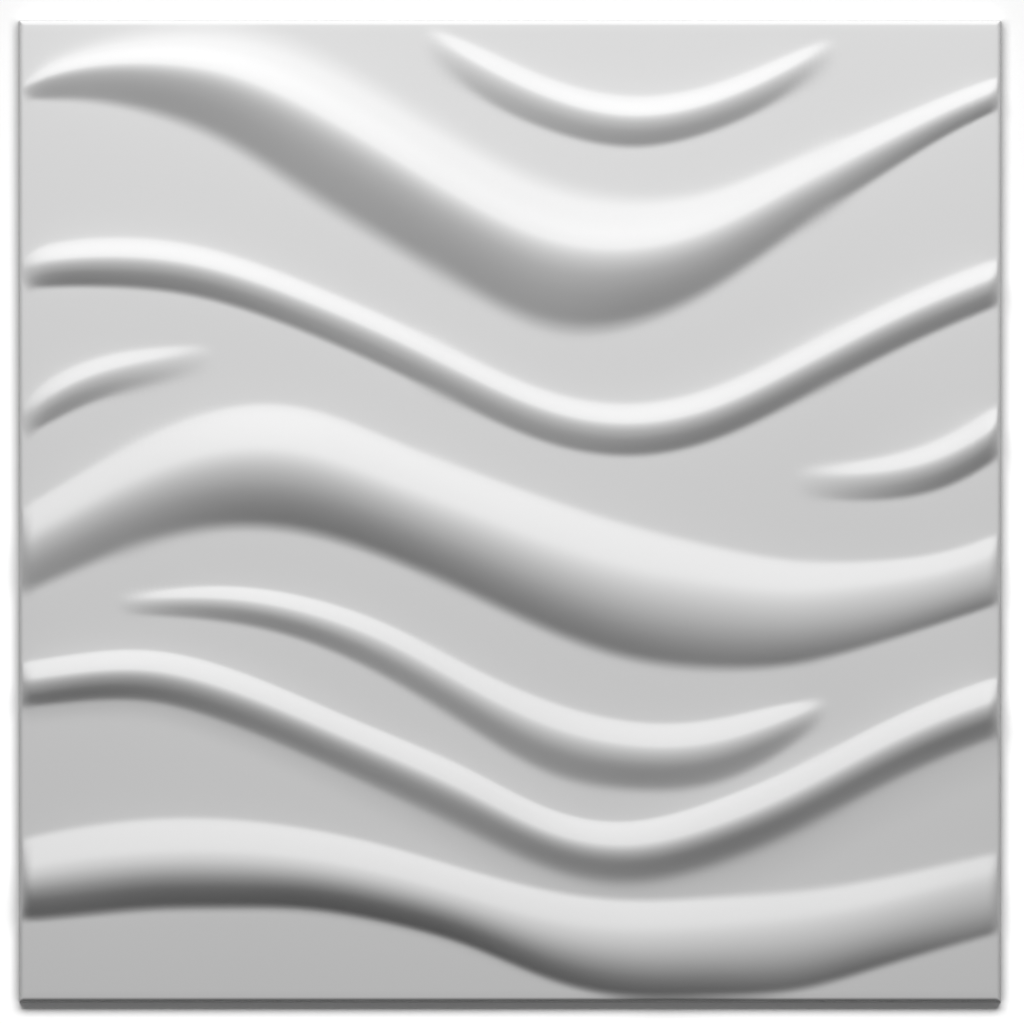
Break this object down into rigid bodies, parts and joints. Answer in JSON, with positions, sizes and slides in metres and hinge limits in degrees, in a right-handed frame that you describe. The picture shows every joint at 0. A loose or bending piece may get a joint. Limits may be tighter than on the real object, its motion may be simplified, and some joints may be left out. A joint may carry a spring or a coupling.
{
  "type": "wall panel tile",
  "caption": "Square wall panel tile moulded from thin white sheet, its face raised in broad and narrow waves that run from side to side, with a short folded-back rim.",
  "frame": {"origin": "centre of the tile, on the plane of the rim's back edge", "axes": "+Z out of the relief side, +Y towards the top edge as hung, +X to the right as seen from the front"},
  "size_m": [0.5, 0.5, 0.0246],
  "materials": {
    "sheet": "satin"
  },
  "bodies": {
    "root": {"wall_panel": "sheet"}
  },
  "joints": []
}
